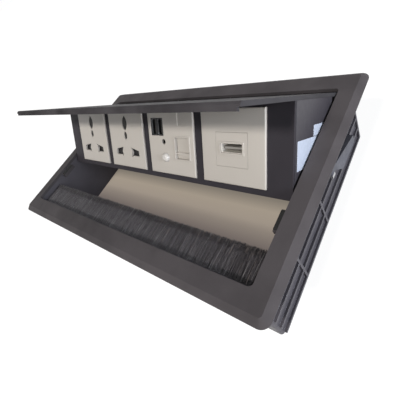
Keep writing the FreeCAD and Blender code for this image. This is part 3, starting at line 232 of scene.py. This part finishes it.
def coated_metal(name, color, spread=0.22, specular=0.5):
    """Powder coat: fine orange peel, and painted light: its colour grows a little lighter towards the
    right end.
    """
    look = Look(name, rough=0.5, specular=specular)
    look.set("IOR", COAT_INDEX)
    look.color(look.painted_light_to_right(look.noise(scale=35, detail=4), COAT_PAINTED_LIGHT_SLOPE), color, spread)
    look.rough(look.noise(scale=120, detail=4), low=0.46, high=0.60)
    look.bump(look.noise(scale=2600, detail=2), strength=0.18, distance=0.00006)
    look.bump(look.noise(scale=700, detail=3), strength=0.10, distance=0.00010)


def moulded(name, color, rough, grain, strength, coat=0.0, spread=0.05, waves=0.06, specular=0.5):
    """Moulded plastic: a fine texture from the mould and soft flow marks."""
    look = Look(name, rough, coat=coat, specular=specular)
    look.color(look.noise(scale=50, detail=3), color, spread)
    look.rough(look.noise(scale=260, detail=3), low=rough - MOULD_SPREAD, high=rough + MOULD_SPREAD)
    look.bump(look.cells(grain), strength, distance=0.00004)
    look.bump(look.noise(scale=90, detail=2), waves, distance=0.0002)


def brushed(name, color, rough, stretch=ACROSS_Z, metallic=1.0):
    """Bare metal with fine streaks."""
    look = Look(name, rough, metallic=metallic)
    look.color(look.noise(scale=160, detail=4), color, spread=0.12)
    streaks = look.noise(scale=900, detail=4, stretch=stretch)
    look.rough(streaks, low=rough - BRUSHED_SMOOTHER, high=rough + BRUSHED_ROUGHER)
    look.bump(streaks, strength=0.12, distance=0.00003)


def cast_metal(name, color):
    """Plain die casting: a grainy skin with dull patches."""
    look = Look(name, rough=0.5, metallic=0.75)
    look.color(look.noise(scale=70, detail=5), color, spread=0.16)
    look.rough(look.noise(scale=180, detail=4), low=0.42, high=0.66)
    look.bump(look.noise(scale=1500, detail=4), strength=0.35, distance=0.00010)


def soft_rubber(name, color):
    """Dull black rubber with a fine grain."""
    look = Look(name, rough=0.8, specular=0.3)
    look.color(look.noise(scale=90, detail=3), color, spread=0.25)
    look.rough(look.noise(scale=200, detail=3), low=0.7, high=0.9)
    look.bump(look.noise(scale=1400, detail=4), strength=0.3, distance=0.00008)


def nylon_fibre(name, color):
    """Dark bristle: each hair is a little lighter or darker than the next, and a few are pale."""
    look = Look(name, rough=0.42, specular=0.6)
    look.set("Sheen Weight", HAIR_SHEEN)
    hairs = look.noise(scale=1400, detail=2, stretch=HAIRS_ALONG_Y)
    dark = tuple(c * DARK_HAIR_SHARE for c in color)
    stops = [(0.35, dark), (0.5, color), (0.6, color), (0.72, PALE_FIBRE)]
    look.link(color_ramp(look.tree, hairs, stops), "Base Color")
    look.rough(look.noise(scale=300, detail=2), low=0.32, high=0.55)
    look.bump(hairs, strength=0.2, distance=0.00005)


def bare_sticker(name, color):
    """Blank paper label under a clear film."""
    look = Look(name, rough=0.35, coat=0.3)
    look.color(look.noise(scale=500, detail=4), color, spread=0.05)
    look.rough(look.noise(scale=150, detail=3), low=0.28, high=0.42)
    look.bump(look.noise(scale=1800, detail=3), strength=0.08, distance=0.00003)


def circuit_board(name, color):
    """Lacquered board, mottled by its fine tracks."""
    look = Look(name, rough=0.35, coat=0.4)
    tracks = look.cells(scale=420)
    look.color(tracks, color, spread=0.45)
    look.rough(look.noise(scale=200, detail=3), low=0.28, high=0.45)
    look.bump(tracks, strength=0.2, distance=0.00005)


def make_materials():
    """Every look that a slot or a node has."""
    coated_metal("frame_coat", DARK_COAT)
    moulded("tub_plastic", TUB, rough=0.42, grain=1500, strength=0.18, spread=0.10, specular=0.12)
    # Painted highlight along the tub's rounded edges
    moulded("tub_edge", TUB_EDGE_PAINTED_HIGHLIGHT, rough=0.35, grain=1500, strength=0.10, spread=0.10)
    coated_metal("lid_coat", LID_COAT)
    # Painted shade: the lid's lip, a copy of the coat with less sheen
    coated_metal("lip_painted_shade", LIP_PAINTED_SHADE, spread=0.45, specular=0.1)
    moulded("tongue_plastic", TONGUE, rough=0.5, grain=2000, strength=0.10)
    moulded("box_plastic", BOX, rough=0.42, grain=1900, strength=0.16, spread=0.08)
    moulded("fascia_plastic", FASCIA, rough=0.48, grain=1900, strength=0.16, spread=0.08, specular=0.08)
    moulded(
        "plate_plastic", PLATE, rough=0.34, grain=2400, strength=0.04, coat=0.1, spread=0.01, waves=0.01
    )
    moulded("insert_plastic", INSERT, rough=0.5, grain=2000, strength=0.10, specular=0.2)
    moulded("inner_plastic", BLACK, rough=0.45, grain=1800, strength=0.12, spread=0.2, specular=0.2)
    moulded("cap_plastic", CAP, rough=0.14, grain=2600, strength=0.03, coat=0.6, spread=0.02)
    circuit_board("board", BOARD)
    brushed("steel", STEEL, rough=0.34)
    brushed("dark_steel", DARK_STEEL, rough=0.40)
    brushed("port_steel", PORT_STEEL, rough=0.42, stretch=ACROSS_X, metallic=0.2)
    brushed("brass", BRASS, rough=0.32, stretch=ACROSS_Y)
    cast_metal("cast_arm", CAST)
    soft_rubber("rubber", RUBBER)
    nylon_fibre("brush_fibre", FIBRE)
    bare_sticker("sticker", STICKER)


# CAD nodes: each has the material of its slot, or one of its own
SLOT_OF = {part["node"]: part["material_slot"] for part in frame["record"]["subparts"]}
OWN_LOOK = {
    "fascia": "fascia_plastic",
    "lid_plate": "lid_coat",
    "video_port": "port_steel",
    "video_tongue": "tongue_plastic",
    "usb_shells": "dark_steel",
    "clamp_screws": "dark_steel",
}

# Edges of the CAD nodes catch the light on a small round
EDGE_ROUND = {
    "bezel_frame": 0.0006,
    "lid_plate": 0.0004,
    "tub": 0.0004,
    "fascia": 0.0003,
    "module_box": 0.0004,
    "rear_cover": 0.0003,
    "clamp_arm_left": 0.0006,
    "clamp_arm_right": 0.0006,
}
FINE_EDGE = 0.00012
EDGE_SEGMENTS = 2
WELD_GAP = 1e-6
FLAT = math.radians(0.2)
SHARP = math.radians(24)

# The lid at rest: it stands open, so the way to the hinge slopes down
LID_TURN = math.radians(39.7)
TO_HINGE = Vector((0, math.cos(LID_TURN), -math.sin(LID_TURN)))
LIP_DEPTH = 0.003
LIP_FACING = -0.5


def finish_node(name, thing):
    """Gives a CAD node its material and small rounds on its sharp edges."""
    mesh = thing.data
    mesh.materials.clear()
    mesh.materials.append(MATERIALS[OWN_LOOK.get(name, SLOT_OF[name])])
    custom = mesh.attributes.get("custom_normal")
    if custom:
        mesh.attributes.remove(custom)
    mesh.polygons.foreach_set("use_smooth", [True] * len(mesh.polygons))
    weld = thing.modifiers.new("weld", "WELD")
    weld.merge_threshold = WELD_GAP
    flat = thing.modifiers.new("flat", "DECIMATE")
    flat.decimate_type = "DISSOLVE"
    flat.angle_limit = FLAT
    bevel = thing.modifiers.new("edge", "BEVEL")
    bevel.width = EDGE_ROUND.get(name, FINE_EDGE)
    bevel.segments = EDGE_SEGMENTS
    bevel.limit_method = "ANGLE"
    bevel.angle_limit = SHARP
    bevel.harden_normals = True
    # The tub's rounded edges get a lighter material: painted highlight along its ribs and rims
    if name == "tub":
        mesh.materials.append(MATERIALS["tub_edge"])
        bevel.material = 1
    if name == "lid_plate":
        paint_shade_on_lip(thing)


def paint_shade_on_lip(lid):
    """Painted shade on the folded lip: the faces near the lid's front edge that face forward get a copy
    of the coat with less sheen.
    """
    lid.data.materials.append(MATERIALS["lip_painted_shade"])
    front = min(vertex.co.dot(TO_HINGE) for vertex in lid.data.vertices)
    for polygon in lid.data.polygons:
        near = polygon.center.dot(TO_HINGE) < front + LIP_DEPTH
        if near and polygon.normal.dot(TO_HINGE) < LIP_FACING:
            polygon.material_index = 1


def mesh_piece(name, points, faces, material, body):
    """A piece that is made here, on the body that it moves with."""
    mesh = bpy.data.meshes.new(name)
    mesh.from_pydata(points, [], faces)
    mesh.polygons.foreach_set("use_smooth", [True] * len(mesh.polygons))
    piece = bpy.data.objects.new(name, mesh)
    scene.collection.objects.link(piece)
    mesh.materials.append(MATERIALS[material])
    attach(piece, body)
    return piece


# Brush: many thin hairs in tufts, held in the slot of the holder
BRUSH_SEED = 11
TUFT_PITCH = 0.0022
TUFT_REACH = (0.965, 0.985)
HAIRS_PER_TUFT = 42
HAIR_REACH = (0.95, 1.0)
PITCH_SHARE = (-0.5, 0.5)
THICKNESS_SHARE = (-0.36, 0.42)
ROOT_INSET = 0.0004
LEAN_SPREAD = 0.03
RISE = (-0.02, 0.03)
DROOP = (0.0002, 0.0011)
CURL_SPREAD = 0.0004
HAIR_RINGS = 5
HAIR_SIDES = 3
HAIR_RADIUS = 0.00013
TIP_SHARE = 0.5


def hair_path(chance, root, length):
    """A hair's points from its root: nearly straight, with a slight droop and lean."""
    lean = chance.gauss(0, LEAN_SPREAD)
    rise = chance.uniform(*RISE)
    droop = chance.uniform(*DROOP)
    curl = chance.gauss(0, CURL_SPREAD)
    points = []
    for ring in range(HAIR_RINGS):
        share = ring / (HAIR_RINGS - 1)
        sideways = lean * length * share + curl * share * share
        upwards = rise * length * share - droop * share * share
        points.append(root + Vector((sideways, length * share, upwards)))
    return points


def add_hair(path, verts, faces):
    """A thin tapering tube along the path, closed at its tip."""
    first = len(verts)
    for ring, point in enumerate(path):
        size = HAIR_RADIUS * (1 - (1 - TIP_SHARE) * ring / (len(path) - 1))
        for side in range(HAIR_SIDES):
            turn = 2 * math.pi * side / HAIR_SIDES
            verts.append(point + Vector((math.cos(turn) * size, 0, math.sin(turn) * size)))
    for ring in range(len(path) - 1):
        for side in range(HAIR_SIDES):
            here = first + ring * HAIR_SIDES + side
            beside = first + ring * HAIR_SIDES + (side + 1) % HAIR_SIDES
            faces.append((here, beside, beside + HAIR_SIDES, here + HAIR_SIDES))
    last = first + (len(path) - 1) * HAIR_SIDES
    faces.append(tuple(range(last, last + HAIR_SIDES)))


def make_brush():
    """Single hairs in the place of the plain strip, from its front to just short of its tips."""
    chance = random.Random(BRUSH_SEED)
    verts, faces = [], []
    reach = bristle_high.y - bristle_low.y
    thick = bristle_high.z - bristle_low.z
    middle = (bristle_high.z + bristle_low.z) / 2
    count = int((bristle_high.x - bristle_low.x - TUFT_PITCH) / TUFT_PITCH)
    start = -TUFT_PITCH * (count - 1) / 2
    for tuft in range(count):
        tuft_x = start + tuft * TUFT_PITCH
        tuft_length = reach * chance.uniform(*TUFT_REACH)
        for _ in range(HAIRS_PER_TUFT):
            x = tuft_x + chance.uniform(*PITCH_SHARE) * TUFT_PITCH
            z = middle + chance.uniform(*THICKNESS_SHARE) * thick
            length = tuft_length * chance.uniform(*HAIR_REACH)
            root = Vector((x, bristle_low.y + ROOT_INSET, z))
            add_hair(hair_path(chance, root, length), verts, faces)
    brush = mesh_piece("brush_hairs", verts, faces, "brush_fibre", "housing")
    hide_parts("brush_bristles")


# Floor. Inside the tub it has a painted shade that also glows, and which changes over the strip
# between the brush and the open box, darker near each; it ends a little way into the tub's walls.
FLOOR_HALF = 12.0
FLOOR_WHITENESS = 0.86
TUB_INNER = (0.1171, 0.0706)
INSIDE_STRIP = (-0.031, 0.0075)
PAINTED_GLOW_SHARE_IN_TUB = 0.8


def seen_or_mirrored(tree):
    """1 for rays from the camera, for reflections and for rays through glass, else 0."""
    rays = add_node(tree, "LightPath").outputs
    either = calculate(tree, "MAXIMUM", rays["Is Camera Ray"], rays["Is Glossy Ray"])
    return calculate(tree, "MAXIMUM", either, rays["Is Transmission Ray"])


def within_tub(tree, place):
    """1 on the floor between the tub's walls, 0 outside them."""
    tests = []
    for axis, half in zip("XY", TUB_INNER):
        distance = calculate(tree, "ABSOLUTE", along(tree, place, axis))
        tests.append(calculate(tree, "LESS_THAN", distance, half))
    return calculate(tree, "MULTIPLY", *tests)


def floor_material():
    """White to the camera but for a faint shadow, and a painted shade that glows inside the tub."""
    material = bpy.data.materials.new("floor")
    material.use_nodes = True
    tree = material.node_tree
    tree.nodes.clear()
    place = add_node(tree, "TexCoord").outputs["Object"]
    front_to_back = rescaled(tree, along(tree, place, "Y"), INSIDE_STRIP, (0, 1))
    painted_shade_tint = color_ramp(tree, front_to_back, FLOOR_PAINTED_SHADE_IN_TUB)
    # Painted light: inside the tub the floor glows with its painted shade
    inside = mixed(tree, PAINTED_GLOW_SHARE_IN_TUB, diffuse(tree, painted_shade_tint), glow(tree, painted_shade_tint))
    shadow = diffuse(tree, (*FLOOR_SHADOW, 1))
    white = glow(tree, (*WHITE, 1), FLOOR_WHITENESS)
    bright = add_node(tree, "AddShader", {0: shadow, 1: white}).outputs["Shader"]
    outside = mixed(tree, seen_or_mirrored(tree), diffuse(tree, (*FLOOR, 1)), bright)
    both = mixed(tree, within_tub(tree, place), outside, inside)
    add_node(tree, "OutputMaterial", {"Surface": both})
    return material


def make_floor():
    """A wide flat floor at the tub's foot."""
    near, far = -FLOOR_HALF, FLOOR_HALF
    corners = [(near, near), (far, near), (far, far), (near, far)]
    mesh = bpy.data.meshes.new("floor")
    mesh.from_pydata([(x, y, tub_foot) for x, y in corners], [], [(0, 1, 2, 3)])
    floor = bpy.data.objects.new("floor", mesh)
    scene.collection.objects.link(floor)
    mesh.materials.append(floor_material())


# Light
SKY_LEVELS = (0.07, 0.38)
SUN_FROM = (0, -0.575, 0.818)
SUN_SOFTNESS = 8
SUN_POWER = 2.3


def make_world():
    """A sky that is brighter on the right, and a white backdrop for what is seen or mirrored."""
    world = bpy.data.worlds.new("studio")
    world.use_nodes = True
    tree = world.node_tree
    tree.nodes.clear()
    direction = add_node(tree, "TexCoord").outputs["Generated"]
    level = rescaled(tree, along(tree, direction, "X"), (-1, 1), SKY_LEVELS)
    sky = add_node(tree, "Background", {"Color": (*SKY, 1), "Strength": level}).outputs["Background"]
    backdrop = add_node(tree, "Background", {"Color": (*WHITE, 1)}).outputs["Background"]
    both = mixed(tree, seen_or_mirrored(tree), sky, backdrop)
    add_node(tree, "OutputWorld", {"Surface": both})
    scene.world = world


def add_lamp(name, kind, power, color):
    """A lamp without a place or a direction yet."""
    data = bpy.data.lights.new(name, kind)
    data.energy = power
    data.color = color
    lamp = bpy.data.objects.new(name, data)
    scene.collection.objects.link(lamp)
    return lamp


def make_sun():
    sun = add_lamp("sun", "SUN", SUN_POWER, SUNLIGHT)
    sun.data.angle = math.radians(SUN_SOFTNESS)
    sun.rotation_euler = Vector(SUN_FROM).to_track_quat("Z", "Y").to_euler()


def make_panel(name, place, target, size, power, color):
    """A square or oblong lamp that faces its target."""
    panel = add_lamp(name, "AREA", power, color)
    panel.data.shape = "RECTANGLE"
    panel.data.size, panel.data.size_y = size
    panel.location = place
    panel.rotation_euler = (Vector(target) - Vector(place)).to_track_quat("-Z", "Y").to_euler()


def make_lights():
    """Soft sun from above the front, a cool panel at the right and a faint warm one near the camera."""
    make_sun()
    make_panel(
        "side", place=(1.1, -0.06, 0.24), target=(0, 0, 0), size=(0.5, 0.4), power=13, color=COOL
    )
    make_panel(
        "near", place=(0.36, -0.32, 0.26), target=(0.1, 0, 0), size=(0.2, 0.2), power=0.15, color=WARM
    )


# Camera, worked out from the photograph's straight edges
CAMERA_PLACE = (0.1799, -0.0885, 0.1287)
CAMERA_RIGHT = Vector((0.743, 0.475, -0.472))
CAMERA_AHEAD = Vector((-0.656, 0.375, -0.655))
CAMERA_LENS = 27.29
SENSOR_WIDTH = 36
CAMERA_SHIFT = (0.0032, -0.0481)
CLIP_START = 0.005


def make_camera():
    data = bpy.data.cameras.new("camera")
    data.lens = CAMERA_LENS
    data.sensor_width = SENSOR_WIDTH
    data.shift_x, data.shift_y = CAMERA_SHIFT
    data.clip_start = CLIP_START
    camera = bpy.data.objects.new("camera", data)
    ahead = CAMERA_AHEAD.normalized()
    right = (CAMERA_RIGHT - ahead * CAMERA_RIGHT.dot(ahead)).normalized()
    up = right.cross(ahead)
    turn = Matrix((right, up, -ahead)).transposed()
    camera.matrix_world = Matrix.Translation(CAMERA_PLACE) @ turn.to_4x4()
    scene.collection.objects.link(camera)
    scene.camera = camera


make_camera()
make_materials()
for node_name, node in nodes.items():
    finish_node(node_name, node)
make_brush()
make_floor()
make_world()
make_lights()
scene.view_settings.view_transform = "Standard"
